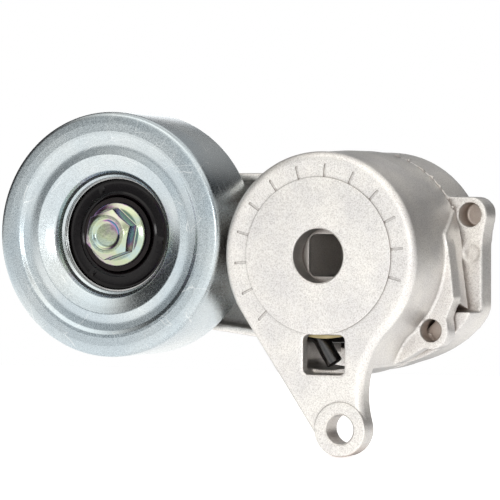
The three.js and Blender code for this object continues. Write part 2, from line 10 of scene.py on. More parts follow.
import bmesh
import bpy
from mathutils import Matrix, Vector


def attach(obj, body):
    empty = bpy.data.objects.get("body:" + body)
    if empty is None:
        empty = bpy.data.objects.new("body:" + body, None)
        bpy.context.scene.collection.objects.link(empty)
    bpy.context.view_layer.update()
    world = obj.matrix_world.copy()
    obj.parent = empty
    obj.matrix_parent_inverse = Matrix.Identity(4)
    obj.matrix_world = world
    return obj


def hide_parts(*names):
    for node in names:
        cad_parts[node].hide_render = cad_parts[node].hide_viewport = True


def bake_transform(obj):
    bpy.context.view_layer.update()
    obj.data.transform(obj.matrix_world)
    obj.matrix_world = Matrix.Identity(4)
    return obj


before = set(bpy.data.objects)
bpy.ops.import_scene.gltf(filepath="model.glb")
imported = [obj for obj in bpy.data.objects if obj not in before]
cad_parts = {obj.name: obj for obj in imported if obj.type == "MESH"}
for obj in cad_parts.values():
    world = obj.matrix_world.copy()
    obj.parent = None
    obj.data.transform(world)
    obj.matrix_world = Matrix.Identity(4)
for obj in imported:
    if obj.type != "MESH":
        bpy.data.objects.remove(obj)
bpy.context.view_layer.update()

MM = 0.001
DEPTH = 60  # from the front of the case to the hub's flat rear face
CUT = 1  # how far a cutting tool reaches past the face it opens
GAP = 0.3  # running clearance between two pieces
SIDES = 192  # sides of a turned piece

# ---------------------------------------------------------------- driving dimensions

CASE = Dimensions(face=0.5, disc=23.8, radius=31.5, rear_radius=32, edge=2.4, floor=4.2, rear=38.2,
                  cavity=28.6, bore=8.25)
SLEEVE = Dimensions(radius=15.2, bore=12.2, groove=13.2, shoulder=8, rear=33)
LUG = Dimensions(x=7.2, z=-52.2, radius=8.29, hole=4.45, thickness=9, blend=28)
BULGE = Dimensions(radius=37.1, wall=2.5, rear=29.5)

# rounded rectangles in the case's floor: x, z, width, height, corner
POCKET = (0, -30, 21.4, 20, 1)
TANG_SLOT = (0, -30, 17, 9, 1)
WINDOW = (1.8, -29.85, 13.6, 11.9, 1.6)

WING_FRONT = Dimensions(depth=23, top=6, bottom=-13, top_x=32.6, bottom_x=35)
WING_REAR = Dimensions(depth=38.2, top=12, bottom=-17, top_x=29.9, bottom_x=34)
WING_ROOT = 29.5
CASE_EAR = Dimensions(front=23, x=27.4, z=-22.9, radius=5.7, hole=3.45)
TICKS = Dimensions(count=13, first=-15, spacing=20, inner=23.4, outer=27.9, width=0.8, depth=0.3)

# thin flakes left by the die along the rear edge: angle, width (degrees), height, rear depth
FLASH = [(71, 3.4, 0.55, 38.25), (64, 2.2, 0.8, 38.2), (55, 5.5, 0.6, 38.3), (47.5, 3, 0.9, 38.25),
         (41, 4.2, 0.7, 38.3), (33, 2.6, 0.9, 38.2), (27, 2, 0.6, 38.25)]

POST = Dimensions(front=8.4, radius=10.6, groove=9.8, groove_front=10.4, groove_rear=11.8)
SOCKET = Dimensions(side=12.8, corner=2.4, rear=46)
HUB = Dimensions(front=39.7, radius=31.7, cavity=28.4, floor=52, chamfer=1.7)
ARM = Dimensions(front=30.2, web=41, rear=48, rib=2.4, clear=33, root=-10, top=25.2, top_end=-47,
                 top_bend=-62, end=17, end_from=120, end_to=245, under_bend=(-64, -21.5),
                 under_end=(-49, -24.2), under=-20, bottom=-28, boss=12.5, boss_front=22.3)
ARM_EAR = Dimensions(x=33.6, z=12.3, radius=5.5, hole=3.7, depth=7)
FLANGE = Dimensions(rear=48.5, side=37.6, corner=(34, -22.6), skirt_bend=(26.5, -30.5), skirt=(13.6, -33.8),
                    skirt_radius=36.4)
EJECTOR_MARK = Dimensions(x=34, z=0.4, radius=2.9, depth=0.5)
STOP = Dimensions(front=30.1, top=-17.4, side=37.45, inner=32.8, step=33.6)

PULLEY = Dimensions(x=-70.7, z=6.1, radius=38, front=-0.7, rear=26.3, sheet=2.5)
BEARING = Dimensions(front=6.1, rear=18.1, outer=20, bore=8.5, outer_land=17.3, inner_land=11.5)
BEARING_MIDDLE = (BEARING.front + BEARING.rear) / 2
BALL = Dimensions(count=8, radius=3.25, pitch=14.4, race=3.5)
SEAL = Dimensions(outer=17, inner=11.85, front=6.9, rear=17.3, thickness=0.9)
DIMPLES = Dimensions(pitch=15.1, first=112.8, radius=1.05, depth=0.5)
BOLT = Dimensions(flange=10, across=14, top=-1.6, flange_top=4.3, shank=5, rear=40, phase=19, seat=6)
SPRING = Dimensions(radius=24.4, wire=2.5, front=9.6, rear=45.6, turns=5.25, start=-98)
SPRING_HOLE = Dimensions(clearance=0.5, rear=57)
SPRING_END = SPRING.start - 360 * SPRING.turns
SPRING_TANG = [(1.6, -32.6), (0.5, -31), (-1.6, -27.8)]  # x and z of the front leg, from its tip inwards
SPRING_TAIL = (48.5, 52, 56)  # depths along the rear leg

# plain rings: inner and outer radius, front and rear depth, corner
THRUST_RING = (17, 25.1, 4.5, 6.6, 0.3)
FRONT_BUSH = (10.85, 11.95, 12.3, 22, 0.15)
REAR_BUSH = (10.85, 11.95, 22.3, 32.6, 0.15)
DUST_SEAL = (28.9, 30.6, 38.5, 39.4, 0.15)
DUST_SHIELD = (8.5, 18.6, 18.4, 19.1, 0.15)

# parts of a ring: inner and outer radius, start and end angle, front and rear depth
DAMPING_SLEEVE = (27.3, 28.3, -45, 232, 12, 36.5)
REAR_SPRING_SEAT = (19, 28.1, SPRING_END + 12, SPRING_END + 348, 48.6, 51.7)
RETAINING_RING = (10.05, 12.9, 20, 340, 10.65, 11.55)

HUB_CENTRE = (0, 0)
WHEEL = (PULLEY.x, PULLEY.z)

# ---------------------------------------------------------------- shapes


def polar(radius, degrees, x=0.0, z=0.0):
    """The point at an angle and a distance from a centre."""
    angle = math.radians(degrees)
    return (x + radius * math.cos(angle), z + radius * math.sin(angle))


def arc(x, z, radius, start, end, step=3.0):
    """Points along a circular arc, with both its ends."""
    count = max(1, round(abs(end - start) / step))
    return [polar(radius, start + (end - start) * k / count, x, z) for k in range(count + 1)]


def bend(start, control, end, count=8):
    """Points along a quadratic curve, without its start."""
    steps = [k / count for k in range(1, count + 1)]
    return [
        tuple(a * (1 - t) ** 2 + 2 * b * t * (1 - t) + c * t * t for a, b, c in zip(start, control, end))
        for t in steps
    ]


def rectangle(x, z, width, height, corner):
    """A rounded rectangle about a centre."""
    right, left = x + width / 2 - corner, x - width / 2 + corner
    top, bottom = z + height / 2 - corner, z - height / 2 + corner
    return (
        arc(right, bottom, corner, -90, 0, 15)
        + arc(right, top, corner, 0, 90, 15)
        + arc(left, top, corner, 90, 180, 15)
        + arc(left, bottom, corner, 180, 270, 15)
    )


def soften(profile, steps=6):
    """A closed profile of (radius, depth, corner) points with each corner rounded."""
    made = []
    for k, (radius, depth, corner) in enumerate(profile):
        here = Vector((radius, depth))
        before = Vector(profile[k - 1][:2]) - here
        after = Vector(profile[(k + 1) % len(profile)][:2]) - here
        if not corner:
            made.append((radius, depth))
            continue
        reach = corner / math.tan(before.angle(after) / 2)
        start = here + before.normalized() * min(reach, 0.48 * before.length)
        end = here + after.normalized() * min(reach, 0.48 * after.length)
        made.append(tuple(start))
        made += bend(start, here, end, steps)
    return made


def spot(x, depth, z):
    """A place in the frame, in metres."""
    return (x * MM, (depth - DEPTH) * MM, z * MM)


def stand(name, data):
    """A new object in the scene."""
    made = bpy.data.objects.new(name, data)
    bpy.context.scene.collection.objects.link(made)
    return made


def build(name, points, faces):
    """A mesh object from (x, depth, z) points, with its faces turned outwards."""
    mesh = bpy.data.meshes.new(name)
    mesh.from_pydata([spot(*point) for point in points], [], faces)
    shape = bmesh.new()
    shape.from_mesh(mesh)
    bmesh.ops.remove_doubles(shape, verts=shape.verts, dist=1e-7)
    bmesh.ops.recalc_face_normals(shape, faces=shape.faces)
    shape.to_mesh(mesh)
    shape.free()
    return stand(name, mesh)


def loft(sections, name="tool"):
    """A solid through (outline, depth) sections with the same number of points each."""
    count = len(sections[0][0])
    points = [(x, depth, z) for outline, depth in sections for x, z in outline]
    faces = [tuple(range(count)), tuple(reversed(range(len(points) - count, len(points))))]
    for row in range(len(sections) - 1):
        for k in range(count):
            a = row * count + k
            b = row * count + (k + 1) % count
            faces.append((a, a + count, b + count, b))
    return build(name, points, faces)


def prism(outline, front, rear, name="tool"):
    return loft([(outline, front), (outline, rear)], name)


def turned(profile, name="tool", centre=HUB_CENTRE, sides=SIDES):
    """A profile of (radius, depth) points turned about an axis along the depth."""
    points, rings = [], []
    for radius, depth in profile:
        if radius < 1e-6:
            rings.append([len(points)] * sides)
            points.append((centre[0], depth, centre[1]))
        else:
            rings.append(range(len(points), len(points) + sides))
            for k in range(sides):
                x, z = polar(radius, 360 * k / sides, *centre)
                points.append((x, depth, z))
    pairs = list(zip(rings, rings[1:]))
    if profile[0][0] > 1e-6:
        pairs.append((rings[-1], rings[0]))
    faces = []
    for first, second in pairs:
        for k in range(sides):
            following = (k + 1) % sides
            corners = (first[k], second[k], second[following], first[following])
            faces.append(tuple(dict.fromkeys(corners)))
    return build(name, points, faces)


def bar(radius, front, rear, centre=HUB_CENTRE, sides=SIDES // 2):
    return turned([(0, front), (radius, front), (radius, rear), (0, rear)], centre=centre, sides=sides)


def ring(inner, outer, front, rear, corner):
    """The profile of a plain ring with softened corners."""
    corners = [(inner, front), (outer, front), (outer, rear), (inner, rear)]
    return soften([(radius, depth, corner) for radius, depth in corners], 3)


def hull(points):
    """The convex solid round the given (x, depth, z) points."""
    made = build("tool", points, [])
    shape = bmesh.new()
    shape.from_mesh(made.data)
    bmesh.ops.convex_hull(shape, input=shape.verts)
    bmesh.ops.recalc_face_normals(shape, faces=shape.faces)
    shape.to_mesh(made.data)
    shape.free()
    return made


def settle(made):
    """Turns an object's modifiers into its mesh."""
    graph = bpy.context.evaluated_depsgraph_get()
    made.data = bpy.data.meshes.new_from_object(made.evaluated_get(graph))
    made.modifiers.clear()
    return made


def combine(made, operation, *tools):
    """Joins the tools to a solid, cuts them out of it or keeps what it shares with them."""
    for tool in tools:
        change = made.modifiers.new("combine", "BOOLEAN")
        change.operation = operation
        change.solver = "MANIFOLD"
        change.object = tool
    settle(made)
    for tool in tools:
        bpy.data.objects.remove(tool)
    return made


def join(made, *tools):
    return combine(made, "UNION", *tools)


def cut(made, *tools):
    return combine(made, "DIFFERENCE", *tools)


def share(made, *tools):
    return combine(made, "INTERSECT", *tools)


def cast(made, voxel, relax, faces):
    """Gives a solid the soft, slightly uneven edges of a casting, within this many triangles."""
    skin = made.modifiers.new("skin", "REMESH")
    skin.mode = "VOXEL"
    skin.voxel_size = voxel * MM * 1
    soft = made.modifiers.new("soft", "SMOOTH")
    soft.factor = 0.5
    soft.iterations = relax
    settle(made)
    triangles = len(made.data.polygons) * 2
    if triangles > faces:
        thin = made.modifiers.new("thin", "DECIMATE")
        thin.ratio = faces / triangles
        settle(made)
    return made


def gather(tools):
    """One object out of several that don't touch."""
    points, faces = [], []
    for tool in tools:
        start = len(points)
        points += [tuple(v.co) for v in tool.data.vertices]
        faces += [tuple(start + i for i in p.vertices) for p in tool.data.polygons]
        bpy.data.objects.remove(tool)
    mesh = bpy.data.meshes.new("tools")
    mesh.from_pydata(points, [], faces)
    return stand("tools", mesh)


# ---------------------------------------------------------------- the fixed case


def case_outline(inset=0.0):
    """The round body and the lug, joined by a tangent on the left and a hollow arc on the right."""
    body, lug, blend = CASE.radius - inset, LUG.radius - inset, LUG.blend + inset
    span = math.hypot(LUG.x, LUG.z)
    heading = math.atan2(LUG.z, LUG.x)
    tangent = heading - math.acos((body - lug) / span)
    to_blend, lug_to_blend = body + blend, lug + blend
    corner = math.acos((span**2 + to_blend**2 - lug_to_blend**2) / (2 * span * to_blend))
    blend_at = heading + corner
    blend_x, blend_z = to_blend * math.cos(blend_at), to_blend * math.sin(blend_at)
    lug_side = math.atan2(blend_z - LUG.z, blend_x - LUG.x)
    degrees = math.degrees
    return (
        arc(0, 0, body, degrees(blend_at), degrees(tangent) + 360)
        + arc(LUG.x, LUG.z, lug, degrees(tangent), degrees(lug_side), 6)
        + arc(blend_x, blend_z, blend, degrees(lug_side) + 180, degrees(blend_at) + 180, 4)
    )


def case_plate():
    """The front plate and the lug, rounded along both edges."""
    sections = []
    steps = 8
    for k in range(steps + 1):
        angle = math.pi / 2 * k / steps
        inset = CASE.edge * (1 - math.sin(angle))
        sections.append((case_outline(inset), CASE.face + CASE.edge * (1 - math.cos(angle))))
    for k in range(steps + 1):
        angle = math.pi / 2 * k / steps
        inset = CASE.edge * (1 - math.cos(angle))
        sections.append((case_outline(inset), LUG.thickness - CASE.edge * (1 - math.sin(angle))))
    return loft(sections, "spring_case_casting")


def wing():
    """The flat-sided thickening of the wall that the arm's stop rests against."""
    points = []
    for section in (WING_FRONT, WING_REAR):
        points += [
            (WING_ROOT, section.depth, section.top + 2),
            (section.top_x, section.depth, section.top),
            (section.bottom_x, section.depth, section.bottom),
            (WING_ROOT - 2, section.depth, section.bottom),
        ]
    return hull(points)


def case_ear():
    """The flat ear with the hole for the locking pin, from inside the wall round to the wing."""
    outline = [(26, 8), (13, -26), (13, -34.2), (17.6, -32.6)]
    outline += arc(CASE_EAR.x, CASE_EAR.z, CASE_EAR.radius, -112, 10, 5)
    outline += [(32.6, -18.9), (35, WING_FRONT.bottom), (34.1, -4.5), (33, 4)]
    return prism(outline, CASE_EAR.front, BULGE.rear)


def spring_case():
    wall = turned([
        (CASE.cavity, CASE.face + CASE.edge),
        (CASE.radius, CASE.face + CASE.edge),
        (CASE.radius, LUG.thickness),
        (CASE.rear_radius, WING_FRONT.depth),
        (CASE.rear_radius, CASE.rear),
        (CASE.cavity, CASE.rear),
    ])
    bulge = share(prism(case_outline(), CASE.face + CASE.edge, BULGE.rear), bar(BULGE.radius, 0, DEPTH))
    pocket = share(
        prism(case_outline(BULGE.wall), CASE.floor, BULGE.rear + CUT),
        bar(BULGE.radius - BULGE.wall, 0, DEPTH),
        prism(rectangle(*POCKET), 0, DEPTH),
    )
    made = join(case_plate(), wall, bulge, wing(), case_ear())
    cut(
        made,
        bar(CASE.cavity, CASE.floor, DEPTH),
        pocket,
        prism(rectangle(*TANG_SLOT), BULGE.rear - CUT, DEPTH),
    )
    join(made, bar(SLEEVE.radius, CASE.edge, SLEEVE.rear))
    cut(
        made,
        turned([
            (0, -CUT), (CASE.bore, -CUT), (CASE.bore, SLEEVE.shoulder), (SLEEVE.bore, SLEEVE.shoulder),
            (SLEEVE.bore, POST.groove_front), (SLEEVE.groove, POST.groove_front),
            (SLEEVE.groove, POST.groove_rear), (SLEEVE.bore, POST.groove_rear),
            (SLEEVE.bore, DEPTH), (0, DEPTH),
        ]),
        prism(rectangle(*WINDOW), -CUT, CASE.floor + 3 * CUT),
        bar(LUG.hole, -CUT, LUG.thickness + CUT, (LUG.x, LUG.z)),
        bar(CASE_EAR.hole, CASE_EAR.front - CUT, BULGE.rear + CUT, (CASE_EAR.x, CASE_EAR.z)),
    )
    cast(made, voxel=0.42, relax=5, faces=170_000)
    return machine_case(made)


def flash_flakes():
    """Thin flakes of metal that the die left along the rear edge."""
    root, foot = CASE.rear_radius - 0.5, CASE.rear_radius + 0.1
    flakes = []
    for angle, width, height, rear in FLASH:
        start, end = angle - width / 2, angle + width / 2
        outline = [
            polar(root, start),
            polar(foot, start),
            polar(CASE.rear_radius + height, angle - 0.2 * width),
            polar(CASE.rear_radius + 0.7 * height, angle + 0.3 * width),
            polar(foot, end),
            polar(root, end),
        ]
        flakes.append(prism(outline, CASE.rear - 0.9, rear))
    return gather(flakes)


def chamfer(radius, size, centre, depth):
    """A tool that takes the sharp edge off the front of a hole."""
    wide = radius + size + CUT
    profile = [(0, depth - CUT), (wide, depth - CUT), (radius, depth + size), (0, depth + size)]
    return turned(profile, centre=centre)


def index_marks():
    """The grooves of a scale round the disc, open at the disc's edge and round at their outer end."""
    marks = []
    half = TICKS.width / 2
    for k in range(TICKS.count):
        angle = TICKS.first + TICKS.spacing * k
        end_x, end_z = polar(TICKS.outer - half, angle)
        start_x, start_z = polar(TICKS.inner, angle)
        across_x, across_z = polar(half, angle + 90)
        outline = arc(end_x, end_z, half, angle - 90, angle + 90, 22)
        outline += [(start_x + across_x, start_z + across_z), (start_x - across_x, start_z - across_z)]
        marks.append(prism(outline, -CUT, CASE.face + TICKS.depth))
    keep = ring(CASE.disc + 0.02, TICKS.outer + CUT, -2 * CUT, CASE.floor, 0)
    return share(gather(marks), turned(keep))


def machine_case(made):
    """Adds what is crisper than the casting: disc, lug pad, flash, chamfered holes and index marks."""
    rear = CASE.floor - CUT
    disc = turned(soften([
        (CASE.bore, 0, 0.2), (CASE.disc, 0, 0.3), (CASE.disc, CASE.face + 0.1, 0.1),
        (CASE.disc, rear, 0), (CASE.bore, rear, 0),
    ]))
    pad = turned(soften([
        (LUG.hole, 0, 0.1), (LUG.radius, 0, 0.45), (LUG.radius, rear, 0), (LUG.hole, rear, 0),
    ]), centre=(LUG.x, LUG.z))
    join(made, disc, pad, flash_flakes())
    cut(made, chamfer(CASE.bore, size=0.45, centre=HUB_CENTRE, depth=0))
    cut(made, chamfer(LUG.hole, size=0.5, centre=(LUG.x, LUG.z), depth=0))
    cut(made, chamfer(CASE_EAR.hole, size=0.3, centre=(CASE_EAR.x, CASE_EAR.z), depth=CASE_EAR.front))
    return cut(made, index_marks())


# ---------------------------------------------------------------- the arm


def arm_outline(inset):
    """The swept outline of the arm, from the hub to the round end behind the pulley."""
    end, top, bottom = ARM.end - inset, ARM.top - inset, ARM.bottom + inset
    round_end = arc(*WHEEL, end, ARM.end_from, ARM.end_to)
    outline = [(ARM.root, top), (ARM.top_end, top)]
    outline += bend(outline[-1], (ARM.top_bend, top), round_end[0])
    outline += round_end[1:]
    under_bend, under_end = [(x, z + inset) for x, z in (ARM.under_bend, ARM.under_end)]
    outline += bend(outline[-1], under_bend, under_end)
    return outline + [(ARM.under, bottom), (ARM.root, bottom)]


def skirt_edge():
    """The lower right edge that the flange and the stop share."""
    return bend(FLANGE.corner, FLANGE.skirt_bend, FLANGE.skirt)


def arm_flange():
    """The flange beside the hub: the pin's ear, the flat right side and the skirt below."""
    outline = [(0, 0), (22, 18)]
    outline += arc(ARM_EAR.x, ARM_EAR.z, ARM_EAR.radius, 80, -20, 5)
    outline += bend(outline[-1], (37.7, 6), (FLANGE.side, 2))
    outline.append((FLANGE.side, -15.5))
    outline += bend(outline[-1], (37.3, -19), FLANGE.corner)
    outline += skirt_edge()
    outline += arc(0, 0, FLANGE.skirt_radius, -72, -125)
    return prism(outline, HUB.front, FLANGE.rear)


def arm_stop():
    """The block that reaches forward beside the case and rests against the case's wing."""
    outline = [(20, STOP.top), (STOP.side, STOP.top)]
    outline += bend(outline[-1], (36.6, -20), FLANGE.corner)
    outline += skirt_edge() + [(10, -25)]
    step = prism([(24.5, -24), (29, -32), (29, -42), (5, -42), (5, -24)], 0, STOP.step)
    return cut(prism(outline, STOP.front, HUB.front + CUT), step, bar(STOP.inner, 0, HUB.front))


def tensioner_arm():
    hub = turned([
        (0, POST.front), (POST.radius, POST.front), (POST.radius, POST.groove_front),
        (POST.groove, POST.groove_front), (POST.groove, POST.groove_rear), (POST.radius, POST.groove_rear),
        (POST.radius, HUB.floor), (HUB.cavity, HUB.floor), (HUB.cavity, HUB.front), (HUB.radius, HUB.front),
        (HUB.radius, DEPTH - HUB.chamfer), (HUB.radius - HUB.chamfer, DEPTH), (0, DEPTH),
    ])
    boss = bar(ARM.boss, ARM.boss_front, ARM.rear, WHEEL)
    swing = cut(
        prism(arm_outline(0), ARM.front, ARM.rear, "tensioner_arm_casting"),
        prism(arm_outline(ARM.rib), ARM.front - CUT, ARM.web),
        bar(ARM.clear, 0, HUB.front),
        bar(HUB.cavity, 0, HUB.floor),
    )
    near_case = bar(ARM.clear + ARM.rib, HUB.front, ARM.rear)
    case_side = share(near_case, prism(arm_outline(0), HUB.front, ARM.rear))
    join(swing, case_side, boss, arm_flange(), arm_stop())
    cut(swing, bar(HUB.cavity, 0, HUB.floor))
    join(swing, hub)
    leg = polar(SPRING.radius, SPRING_END)
    ear = (ARM_EAR.x, ARM_EAR.z)
    mark = (EJECTOR_MARK.x, EJECTOR_MARK.z)
    cut(
        swing,
        prism(rectangle(0, 0, SOCKET.side, SOCKET.side, SOCKET.corner), 0, SOCKET.rear),
        bar(SPRING.wire + SPRING_HOLE.clearance, HUB.floor - CUT, SPRING_HOLE.rear, leg),
        bar(BOLT.shank + GAP, 0, BOLT.rear + 2 * CUT, WHEEL),
        bar(ARM_EAR.hole, HUB.front - CUT, HUB.front + ARM_EAR.depth, ear),
        bar(EJECTOR_MARK.radius, HUB.front - CUT, HUB.front + EJECTOR_MARK.depth, mark),
    )
    return cast(swing, voxel=0.46, relax=5, faces=180_000)


# ---------------------------------------------------------------- the pulley, bearing and bolt


def pulley_shell():
    """The pressed steel pulley: a flat rim, a stepped and dished face and a seat for the bearing."""
    bore = PULLEY.radius - PULLEY.sheet
    profile = [
        # the lip round the seal and the dish
        (17.8, 5.9, 0.1), (17.8, 5.0, 0.3), (18.6, 4.4, 0.4), (19.1, 3.2, 1.5), (19.9, 2.1, 1.6),
        (22.4, 0.95, 4),
        # the ridge, the hollow beyond it and the step up to the outer face
        (24.7, 0.0, 0.9), (27.4, 0.45, 6), (29.9, 0.1, 1.2), (31.0, -0.62, 0.8),
        (32.0, PULLEY.front, 0.8), (34.6, PULLEY.front, 4),
        # the rim that the belt runs on
        (PULLEY.radius, PULLEY.front + 0.2, 2.6), (PULLEY.radius, PULLEY.rear, 1.4),
        (bore, PULLEY.rear, 0.4), (bore, 3.3, 1.5),
        # the back of the face and the bearing's seat
        (34, 1.8, 0.8), (31.7, 1.8, 0.8), (30.6, 2.6, 0.8), (24.9, 2.6, 0.8),
        (22.6, 5.2, 0.8), (22.6, 18.7, 0.3), (20.1, 18.7, 0.1), (20.1, 5.9, 0),
    ]
    return turned(soften(profile, 8), "pulley_shell_pressing", WHEEL, 320)


def race(start, end, steps=8):
    """The ball groove in a bearing ring's wall, as (radius, depth) points."""
    angles = [start + (end - start) * k / steps for k in range(steps + 1)]
    return [polar(BALL.race, angle, BALL.pitch, BEARING_MIDDLE) for angle in angles]


def bearing_outer():
    half = math.degrees(math.acos((BEARING.outer_land - BALL.pitch) / BALL.race))
    profile = [(BEARING.outer_land, BEARING.front), (BEARING.outer, BEARING.front)]
    profile += [(BEARING.outer, BEARING.rear), (BEARING.outer_land, BEARING.rear)]
    return turned(profile + race(half, -half), "bearing_outer_ring_turned", WHEEL)


def bearing_inner():
    half = math.degrees(math.acos((BALL.pitch - BEARING.inner_land) / BALL.race))
    profile = [(BEARING.bore, BEARING.front), (BEARING.inner_land, BEARING.front)]
    profile += race(180 + half, 180 - half)
    profile += [(BEARING.inner_land, BEARING.rear), (BEARING.bore, BEARING.rear)]
    return turned(profile, "bearing_inner_ring_turned", WHEEL)


def seal_profile(face, towards):
    """A rubber seal with a raised lip and a bead, measured from its face; towards is -1 at the front."""
    points = [
        (SEAL.inner, -SEAL.thickness, 0.1), (SEAL.inner, 0, 0.1),
        (12.5, 0.35, 0.3), (12.8, 0.35, 0.3), (13.4, 0, 0.4), (15.9, 0, 0.2), (16.5, 0.2, 0.2),
        (SEAL.outer, 0.05, 0.1), (SEAL.outer, -SEAL.thickness, 0.1),
    ]
    return soften([(radius, face + towards * rise, corner) for radius, rise, corner in points], 5)


def front_seal():
    made = turned(seal_profile(SEAL.front, -1), "bearing_seal_front_moulding", WHEEL)
    top, bottom = SEAL.front - 0.01, SEAL.front + DIMPLES.depth
    profile = [(0, top), (DIMPLES.radius, top), (0.2 * DIMPLES.radius, bottom), (0, bottom)]
    centres = [polar(DIMPLES.pitch, DIMPLES.first + 120 * k, *WHEEL) for k in range(3)]
    return cut(made, gather([turned(profile, centre=centre, sides=32) for centre in centres]))


def rear_seal():
    return turned(seal_profile(SEAL.rear, 1), "bearing_seal_rear_moulding", WHEEL)


def pulley_bolt():
    """The flanged hexagon bolt with a shallow dish in the top of its head."""
    corner = BOLT.across / 2 / math.cos(math.pi / 6)
    hexagon = prism(
        [polar(corner, BOLT.phase + 60 * k, *WHEEL) for k in range(6)],
        BOLT.top, BOLT.flange_top + 0.6, "pulley_bolt_forging",
    )
    crown = turned([
        (0, BOLT.top + 0.7), (3.6, BOLT.top + 0.75), (4.1, BOLT.top + 0.6), (4.7, BOLT.top), (6, BOLT.top),
        (corner + 0.4, BOLT.top + 1.6), (corner + 0.4, BOLT.rear), (0, BOLT.rear),
    ], centre=WHEEL)
    body = turned([
        (0, BOLT.flange_top), (8.3, BOLT.flange_top),
        (BOLT.flange - 0.3, BOLT.seat - 1), (BOLT.flange, BOLT.seat - 0.6), (BOLT.flange, BOLT.seat),
        (BOLT.shank, BOLT.seat), (BOLT.shank, BOLT.rear - 1), (BOLT.shank - 1, BOLT.rear), (0, BOLT.rear),
    ], centre=WHEEL)
    return cast(join(share(hexagon, crown), body), voxel=0.17, relax=2, faces=60_000)


def pulley_spacer():
    """The sleeve between the bolt's flange and the arm, with a collar behind the bearing."""
    profile = [
        (5.3, 7, 0.1), (8.2, 7, 0.2), (8.2, 19.4, 0.2), (11, 19.4, 0.3), (11, 22, 0.3), (5.3, 22, 0.1),
    ]
    return turned(soften(profile, 3), "pulley_spacer_turned", WHEEL)


def ball(index, steps=24):
    """A half circle from pole to pole, turned about the ball's own axis."""
    poles = [(0, BEARING_MIDDLE - BALL.radius), (0, BEARING_MIDDLE + BALL.radius)]
    angles = [math.pi * k / steps for k in range(1, steps)]
    side = [(BALL.radius * math.sin(a), BEARING_MIDDLE - BALL.radius * math.cos(a)) for a in angles]
    centre = polar(BALL.pitch, -360 * index / BALL.count, *WHEEL)
    return turned([poles[0], *side, poles[1]], f"ball_{index + 1}_ground", centre, 2 * steps)


def spring_path():
    """The middle of the spring's wire: a leg behind the window, the coil, and a leg into the arm."""
    points = [(x, SPRING.front, z) for x, z in SPRING_TANG]
    steps = round(40 * SPRING.turns)
    for k in range(steps + 1):
        x, z = polar(SPRING.radius, SPRING.start - 360 * SPRING.turns * k / steps)
        points.append((x, SPRING.front + (SPRING.rear - SPRING.front) * k / steps, z))
    x, z = polar(SPRING.radius, SPRING_END)
    return points + [(x, depth, z) for depth in SPRING_TAIL]


def torsion_spring():
    points = spring_path()
    curve = bpy.data.curves.new("wire", "CURVE")
    curve.dimensions = "3D"
    spline = curve.splines.new("NURBS")
    spline.points.add(len(points) - 1)
    for point, place in zip(spline.points, points):
        point.co = (*spot(*place), 1)
    spline.use_endpoint_u = True
    spline.order_u = 4
    spline.resolution_u = 3
    curve.bevel_depth = SPRING.wire * MM
    curve.bevel_resolution = 6
    curve.use_fill_caps = True
    path = stand("wire", curve)
    graph = bpy.context.evaluated_depsgraph_get()
    mesh = bpy.data.meshes.new_from_object(path.evaluated_get(graph))
    bpy.data.objects.remove(path)
    return stand("torsion_spring_wire", mesh)


def plain_ring(name, size, centre=HUB_CENTRE):
    """A ring of plain section with softened corners."""
    return turned(ring(*size), name, centre)


def sector(name, inner, outer, start, end, front, rear):
    """A part of a ring between two angles."""
    return prism(arc(0, 0, outer, start, end) + arc(0, 0, inner, end, start), front, rear, name)


# ---------------------------------------------------------------- surfaces

# what darkens the castings: dirt and painted shade in small corners, painted shade in deep ones and painted
# shade in the bore
CORNER_DIRT_AND_SHADE = (0.16, 0.135, 0.125, 1)
DEEP_SHADE = (0.50, 0.41, 0.35, 1)
BORE_SHADE = (0.13, 0.11, 0.10, 1)

# a Mix node lists the sockets of all its kinds together: two inputs and the result
MIX_SOCKETS = {"VECTOR": (4, 5, 1), "RGBA": (6, 7, 2)}


class Nodes:
    """A shader node tree, built from the sources forwards."""

    def __init__(self, tree):
        self.tree = tree
        tree.nodes.clear()

    def add(self, kind, **settings):
        """A new node of this kind, with the given properties."""
        made = self.tree.nodes.new("ShaderNode" + kind)
        for name, value in settings.items():
            setattr(made, name, value)
        return made

    def link(self, source, target):
        """Feeds an input from another node's output or with a plain value."""
        if hasattr(source, "node"):
            self.tree.links.new(source, target)
        else:
            target.default_value = source

    def feed(self, made, **values):
        """Feeds a node's inputs by name, with an underscore for each space."""
        for name, value in values.items():
            self.link(value, made.inputs[name.replace("_", " ")])
        return made

    def work_out(self, kind, operation, *values):
        """A Math or VectorMath node on these values."""
        made = self.add(kind, operation=operation)
        for value, target in zip(values, made.inputs):
            self.link(value, target)
        return made


